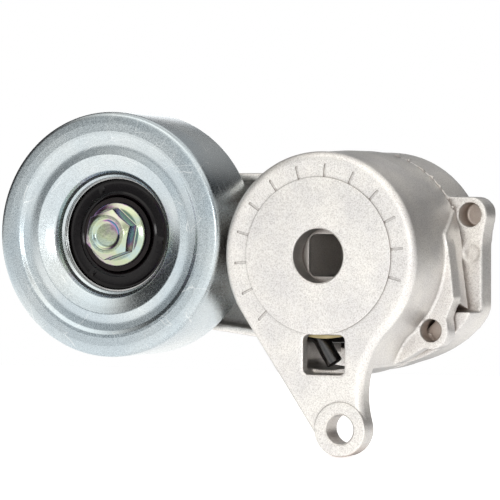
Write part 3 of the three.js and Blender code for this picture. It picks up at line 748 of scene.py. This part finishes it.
class Surface(Nodes):
    """A node material on coordinates fixed to the piece, so that it stays put as the piece moves."""

    def __init__(self, name):
        self.material = bpy.data.materials.new(name)
        self.material.use_nodes = True
        super().__init__(self.material.node_tree)
        self.shader = self.add("BsdfPrincipled")
        self.feed(self.add("OutputMaterial"), Surface=self.shader.outputs[0])
        self.place = self.add("TexCoord").outputs["Object"]

    def set(self, **values):
        """Feeds the shader's own inputs."""
        self.feed(self.shader, **values)

    def noise(self, size, detail=3.0):
        """Noise with features of about this size in millimetres."""
        made = self.add("TexNoise")
        self.feed(made, Vector=self.place, Scale=1 / (size * MM), Detail=detail)
        return made.outputs["Fac"]

    def scratches(self, size, width):
        """Thin broken lines, as handling leaves them on plated steel."""
        wave = self.feed(self.add("TexNoise"), Vector=self.place, Scale=1 / (size * MM))
        bent = self.mixed("VECTOR", self.place, wave.outputs["Color"], 0.006)
        lines = self.add("TexVoronoi", feature="DISTANCE_TO_EDGE")
        self.feed(lines, Vector=bent, Scale=1 / (size * MM))
        line = self.spread(lines.outputs["Distance"], 1, 0, 0, width)
        return self.times(line, self.spread(self.noise(6), 0, 0.7, 0.5, 0.58))

    def distance(self, centre):
        """The distance from an axis along the depth, in metres."""
        x, z = centre
        offset = self.work_out("VectorMath", "SUBTRACT", self.place, (x * MM, 0, z * MM))
        flat = self.work_out("VectorMath", "MULTIPLY", offset.outputs[0], (1, 0, 1))
        return self.work_out("VectorMath", "LENGTH", flat.outputs[0]).outputs["Value"]

    def turning(self, centre, pitch):
        """Noise that varies only with the distance from an axis, as a lathe leaves it."""
        made = self.add("TexNoise", noise_dimensions="1D")
        self.feed(made, W=self.distance(centre), Scale=1 / (pitch * MM), Detail=2)
        return made.outputs["Fac"]

    def spread(self, value, low, high, start=0.3, end=0.7):
        """Maps a noise value onto a range."""
        made = self.add("MapRange")
        self.feed(made, Value=value, From_Min=start, From_Max=end, To_Min=low, To_Max=high)
        return made.outputs[0]

    def colours(self, value, stops):
        """A colour ramp from (position, colour) stops."""
        made = self.add("ValToRGB")
        elements = made.color_ramp.elements
        while len(elements) < len(stops):
            elements.new(0.5)
        for element, (position, colour) in zip(elements, stops):
            element.position = position
            element.color = (*colour, 1)
        self.link(value, made.inputs["Fac"])
        return made.outputs["Color"]

    def bore_shade_mask(self):
        """How much painted shade darkens the metal, which is only on the bore's wall and the pivot's end.
        """
        parts = self.add("SeparateXYZ")
        self.link(self.place, parts.inputs[0])
        depth = parts.outputs["Y"]
        wall, front, rear = CASE.bore + 0.2, 0.7 - DEPTH, POST.front + 0.4 - DEPTH
        near = self.spread(self.distance(HUB_CENTRE), 0.5, 0, wall * MM, (wall + 0.3) * MM)
        behind_front = self.spread(depth, 0, 1, front * MM, (front + 0.8) * MM)
        before_rear = self.spread(depth, 1, 0, rear * MM, (rear + 1.6) * MM)
        return self.times(near, self.times(behind_front, before_rear))

    def times(self, first, second):
        return self.work_out("Math", "MULTIPLY", first, second).outputs[0]

    def plus(self, first, second, weight=1.0):
        """The first value and the weighted second one."""
        return self.work_out("Math", "MULTIPLY_ADD", second, weight, first).outputs[0]

    def falloff_shade(self, *stops):
        """A painted shade: a grey that falls off where the surface turns away, as rough metal does in a
        soft light.
        """
        tilt = self.add("LayerWeight").outputs["Facing"]
        return self.colours(tilt, [(position, (grey, grey, grey)) for position, grey in stops])

    def mixed(self, kind, first, second, amount, **settings):
        """Some of the second vector or colour in the first."""
        first_in, second_in, result = MIX_SOCKETS[kind]
        made = self.add("Mix", data_type=kind, **settings)
        for value, socket in ((amount, 0), (first, first_in), (second, second_in)):
            self.link(value, made.inputs[socket])
        return made.outputs[result]

    def mix(self, first, second, amount, blend="MIX"):
        return self.mixed("RGBA", first, second, amount, blend_type=blend)

    def relief(self, height, size):
        """Surface relief of this height in millimetres."""
        made = self.feed(self.add("Bump"), Height=height, Distance=size * MM)
        self.set(Normal=made.outputs[0])
        return self.material

    def crevices(self, colour, dirt_and_shade, reach, amount, closed_at=0.35, open_at=0.95):
        """Darkens a colour in narrow gaps and corners: painted shade where little light comes, and dirt
        where it gathers.
        """
        made = self.feed(self.add("AmbientOcclusion", samples=8), Distance=reach * MM)
        return self.mix(colour, dirt_and_shade, self.spread(made.outputs["AO"], amount, 0.0, closed_at, open_at))


def cast_aluminium():
    made = Surface("cast_aluminium")
    grain = made.noise(0.36)
    speckle = made.noise(0.17, 2)
    skin = [(0.3, (0.66, 0.64, 0.62)), (0.48, (0.86, 0.84, 0.815)), (0.64, (0.97, 0.96, 0.94))]
    patches = [(0.35, (0.88, 0.87, 0.875)), (0.62, (1.0, 0.985, 0.965))]
    colour = made.mix(made.colours(grain, skin), made.colours(made.noise(13), patches), 1.0, "MULTIPLY")
    # dirt and painted shade in the small corners
    colour = made.crevices(colour, CORNER_DIRT_AND_SHADE, 1.0, 0.75)
    # painted shade in deep recesses, a warm brown
    colour = made.crevices(colour, DEEP_SHADE, 12, 0.9, 0.1, 0.5)
    # painted shade on the bore's wall and the pivot's end face
    colour = made.mix(colour, BORE_SHADE, made.bore_shade_mask())
    # painted shade on surfaces that turn away from the view
    shade = made.falloff_shade((0.25, 1.0), (0.45, 0.92), (0.58, 0.78), (0.78, 0.78), (0.92, 0.35))
    colour = made.mix(colour, shade, 1.0, "MULTIPLY")
    made.set(Base_Color=colour, Metallic=0.84, Roughness=made.spread(speckle, 0.38, 0.54))
    return made.relief(made.plus(made.plus(grain, speckle, 0.6), made.noise(4, 2), 2), 0.05)


def zinc_steel():
    made = Surface("zinc_steel")
    fine = made.noise(0.38, 2)
    broad = made.noise(22, 2)
    rings = made.turning(WHEEL, 0.35)
    colour = made.colours(broad, [(0.35, (0.54, 0.61, 0.65)), (0.65, (0.66, 0.705, 0.715))])
    colour = made.mix(colour, made.spread(fine, 0.78, 1.0, 0.35, 0.65), 1.0, "MULTIPLY")
    scuffs = made.scratches(11, 0.012)
    colour = made.mix(colour, (0.86, 0.88, 0.88, 1), scuffs)
    roughness = made.plus(made.spread(fine, 0.20, 0.32), scuffs, 0.2)
    made.set(Base_Color=colour, Metallic=1.0, Roughness=roughness)
    return made.relief(made.plus(fine, rings, 0.3), 0.009)


def bolt_zinc():
    made = Surface("bolt_zinc")
    tilt = made.add("LayerWeight").outputs["Facing"]
    film = made.plus(made.spread(made.noise(9, 2), 0.46, 0.68), made.noise(1.4, 2), 0.1)
    film = made.plus(film, tilt, -0.38)
    colour = made.colours(film, [
        (0.30, (0.15, 0.37, 0.40)), (0.38, (0.15, 0.22, 0.45)), (0.44, (0.42, 0.20, 0.38)),
        (0.49, (0.50, 0.49, 0.42)), (0.56, (0.48, 0.54, 0.36)), (0.66, (0.42, 0.54, 0.54)),
    ])
    # painted shade: the bolt's corners and gaps darkened almost to black
    colour = made.crevices(colour, (0.05, 0.05, 0.06, 1), 2.2, 0.75, 0.3, 0.9)
    made.set(Base_Color=colour, Metallic=1.0, Roughness=made.spread(made.noise(0.4), 0.12, 0.24))
    return made.relief(made.plus(made.noise(0.8), made.turning(WHEEL, 0.3), 0.5), 0.012)


def steel(name, tone, low, high):
    """Bare steel of one tone, with its roughness between low and high."""
    made = Surface(name)
    colour = made.colours(made.noise(3, 3), [(0.3, tuple(0.85 * c for c in tone)), (0.7, tone)])
    made.set(Base_Color=colour, Metallic=1.0, Roughness=made.spread(made.noise(0.5, 2), low, high))
    return made.relief(made.noise(0.3, 2), 0.006)


def seal_rubber():
    made = Surface("seal_rubber")
    tones = [(0.3, (0.002, 0.001, 0.0015)), (0.7, (0.004, 0.0025, 0.003))]
    roughness = made.spread(made.noise(0.5), 0.08, 0.15)
    made.set(Base_Color=made.colours(made.noise(2.2), tones), Roughness=roughness, Specular_IOR_Level=0.25)
    return made.relief(made.noise(1.1, 2), 0.006)


def paint(name, dark, light, low, high, grain=0.6, gloss=0.5):
    """A painted or moulded skin between two tones, with its roughness between low and high."""
    made = Surface(name)
    colour = made.colours(made.noise(2.5, 3), [(0.3, dark), (0.7, light)])
    roughness = made.spread(made.noise(grain, 2), low, high)
    made.set(Base_Color=colour, Roughness=roughness, Specular_IOR_Level=gloss)
    return made.relief(made.noise(grain, 3), 0.02)


MATERIALS = {
    "cast_aluminium": cast_aluminium(),
    "zinc_steel": zinc_steel(),
    "bolt_zinc": bolt_zinc(),
    "bearing_steel": steel("bearing_steel", (0.56, 0.55, 0.54), 0.14, 0.24),
    "plain_steel": steel("plain_steel", (0.50, 0.50, 0.50), 0.26, 0.4),
    "seal_rubber": seal_rubber(),
    # painted shade: the bearing's inner ring is nearly black because it lies in shadow behind the seal
    "shadowed_steel": steel("shadowed_steel", (0.035, 0.03, 0.03), 0.22, 0.34),
    "spring_paint": paint(
        "spring_paint", (0.006, 0.005, 0.005), (0.012, 0.010, 0.010), 0.20, 0.28, grain=1.5, gloss=1.0
    ),
    "khaki_resin": paint("khaki_resin", (0.40, 0.33, 0.16), (0.52, 0.43, 0.22), 0.42, 0.58),
    "black_resin": paint("black_resin", (0.016, 0.016, 0.018), (0.028, 0.028, 0.030), 0.45, 0.6),
}

SHARP = 32  # degrees between faces from which an edge stays sharp

# ---------------------------------------------------------------- the pieces on their bodies


def dress(made, finish):
    """Gives a piece its material and its smooth and sharp edges."""
    made.data.materials.clear()
    made.data.materials.append(MATERIALS[finish])
    made.data.shade_smooth()
    made.data.set_sharp_from_angle(angle=math.radians(SHARP))
    return made


# the CAD node that each piece replaces, its body, its finish and the function that makes it
PIECES = [
    ("spring_case", "case", "cast_aluminium", spring_case),
    ("tensioner_arm", "arm", "cast_aluminium", tensioner_arm),
    ("pulley_shell", "pulley", "zinc_steel", pulley_shell),
    ("bearing_outer_ring", "pulley", "bearing_steel", bearing_outer),
    # the inner ring's near-black steel is painted shade
    ("bearing_inner_ring", "arm", "shadowed_steel", bearing_inner),
    ("bearing_seal_front", "pulley", "seal_rubber", front_seal),
    ("bearing_seal_rear", "pulley", "seal_rubber", rear_seal),
    ("pulley_bolt", "arm", "bolt_zinc", pulley_bolt),
    ("pulley_spacer", "arm", "plain_steel", pulley_spacer),
    ("rear_dust_shield", "arm", "zinc_steel",
     lambda: plain_ring("rear_dust_shield_turned", DUST_SHIELD, WHEEL)),
    ("thrust_ring", "case", "khaki_resin", lambda: plain_ring("thrust_ring_turned", THRUST_RING)),
    ("front_pivot_bush", "case", "khaki_resin", lambda: plain_ring("front_pivot_bush_turned", FRONT_BUSH)),
    ("rear_pivot_bush", "case", "khaki_resin", lambda: plain_ring("rear_pivot_bush_turned", REAR_BUSH)),
    ("dust_seal_ring", "case", "seal_rubber", lambda: plain_ring("dust_seal_ring_turned", DUST_SEAL)),
    ("damping_sleeve", "case", "black_resin", lambda: sector("damping_sleeve_moulding", *DAMPING_SLEEVE)),
    ("rear_spring_seat", "arm", "black_resin",
     lambda: sector("rear_spring_seat_moulding", *REAR_SPRING_SEAT)),
    ("retaining_ring", "case", "plain_steel", lambda: sector("retaining_ring_pressing", *RETAINING_RING)),
]
PIECES += [
    (f"ball_{k + 1}", "ball_cage", "bearing_steel", lambda k=k: ball(k)) for k in range(BALL.count)
]

for node, body, finish, make in PIECES:
    made = dress(make(), finish)
    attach(made, body)
    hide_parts(node)

spring = dress(torsion_spring(), "spring_paint")
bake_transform(spring)
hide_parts("torsion_spring")

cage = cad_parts["bearing_cage"]
cage.data.materials.clear()
cage.data.materials.append(MATERIALS["plain_steel"])

# ---------------------------------------------------------------- light, floor and camera

WHITE = (1, 1, 1)
WARM = (1, 0.985, 0.95)
COOL = (0.93, 0.98, 1)
DARK = (0.03, 0.03, 0.032, 1)
LAMPS = [
    # towards, full within and gone beyond these angles in degrees, strength, tint
    ((0.1, -0.12, 1), 38, 60, 0.85, WARM),  # overhead
    ((0.46, -0.88, 0.05), 14, 34, 0.80, WARM),  # front right, behind the camera
    ((0.47, -0.87, 0.10), 3.5, 8, 8, WHITE),  # the small hot core of the same lamp
    ((0.88, -0.42, 0.05), 7, 20, 0.5, WARM),  # right
    ((-0.42, -0.90, 0.0), 12, 34, 0.38, COOL),  # front left
    ((0, -1, 0.02), 8, 28, 0.46, COOL),  # front
    ((-0.05, -0.72, 0.70), 16, 40, 0.90, WARM),  # front, high
    ((-0.40, 0.91, 0.02), 9, 19, 2.4, WHITE),  # rear left
    ((0, 0.72, 0.69), 14, 32, 0.40, WHITE),  # rear, high
    ((0.75, -0.15, 0.65), 14, 36, 0.45, WHITE),  # right, high
]

FLOOR_LEVEL = -60.7 * MM  # just below the lug
FLOOR_SIDE, FLOOR_REAR = 3.0, 0.4  # metres; the dark room beyond the near rear edge shows in reflections

# the camera is almost level with the part, 25 degrees to its right and a little over a metre away
TARGET = Vector((-0.03163, -0.040, 0.00128))
STANDPOINT = Vector((0.42285, -1.01330, 0.01701))
LENS, SENSOR = 249.52, 36


def light_room():
    """A studio of soft lamps in a dark room, with a white backdrop that only the camera sees."""
    world = bpy.data.worlds.new("studio")
    bpy.context.scene.world = world
    world.use_nodes = True
    room = Nodes(world.node_tree)
    direction = room.add("TexCoord").outputs["Generated"]
    base = room.add("RGB")
    base.outputs[0].default_value = DARK
    total = base.outputs[0]
    for towards, full, edge, strength, tint in LAMPS:
        facing = room.work_out("VectorMath", "DOT_PRODUCT", direction, Vector(towards).normalized())
        fade = room.add("MapRange", interpolation_type="SMOOTHSTEP")
        within, beyond = math.cos(math.radians(full)), math.cos(math.radians(edge))
        room.feed(fade, Value=facing.outputs["Value"], From_Min=beyond, From_Max=within, To_Max=strength)
        lamp = room.feed(room.work_out("VectorMath", "SCALE", tint), Scale=fade.outputs[0])
        total = room.work_out("VectorMath", "ADD", total, lamp.outputs[0]).outputs[0]
    lit = room.feed(room.add("Background"), Color=total)
    backdrop = room.feed(room.add("Background"), Color=(1, 1, 1, 1))
    choose = room.add("MixShader")
    seen_directly = room.add("LightPath").outputs["Is Camera Ray"]
    for source, target in zip((seen_directly, lit.outputs[0], backdrop.outputs[0]), choose.inputs):
        room.link(source, target)
    room.feed(room.add("OutputWorld"), Surface=choose.outputs[0])


def floor_paper():
    """Pale paper, a little brighter to the camera than to what it lights."""
    made = Surface("floor_paper")
    seen_directly = made.add("LightPath").outputs["Is Camera Ray"]
    made.set(
        Base_Color=made.colours(made.noise(60, 2), [(0.3, (0.82, 0.82, 0.82)), (0.7, (0.84, 0.84, 0.84))]),
        Roughness=0.9,
        Specular_IOR_Level=0.0,
        Emission_Color=(1, 1, 1, 1),
        Emission_Strength=made.spread(seen_directly, 0.64, 0.72, 0, 1),
    )
    return made.material


def lay_floor():
    edge = [
        (-FLOOR_SIDE, -FLOOR_SIDE), (FLOOR_SIDE, -FLOOR_SIDE),
        (FLOOR_SIDE, FLOOR_REAR), (-FLOOR_SIDE, FLOOR_REAR),
    ]
    mesh = bpy.data.meshes.new("floor")
    mesh.from_pydata([(x, y, FLOOR_LEVEL) for x, y in edge], [], [(0, 1, 2, 3)])
    mesh.materials.append(floor_paper())
    stand("floor", mesh)


def place_camera():
    data = bpy.data.cameras.new("camera")
    data.sensor_width = SENSOR
    data.lens = LENS
    data.clip_start, data.clip_end = 0.01, 100
    camera = stand("camera", data)
    camera.location = STANDPOINT
    camera.rotation_mode = "QUATERNION"
    camera.rotation_quaternion = (TARGET - STANDPOINT).to_track_quat("-Z", "Y")
    bpy.context.scene.camera = camera


light_room()
lay_floor()
place_camera()
bpy.context.scene.view_settings.view_transform = "Standard"
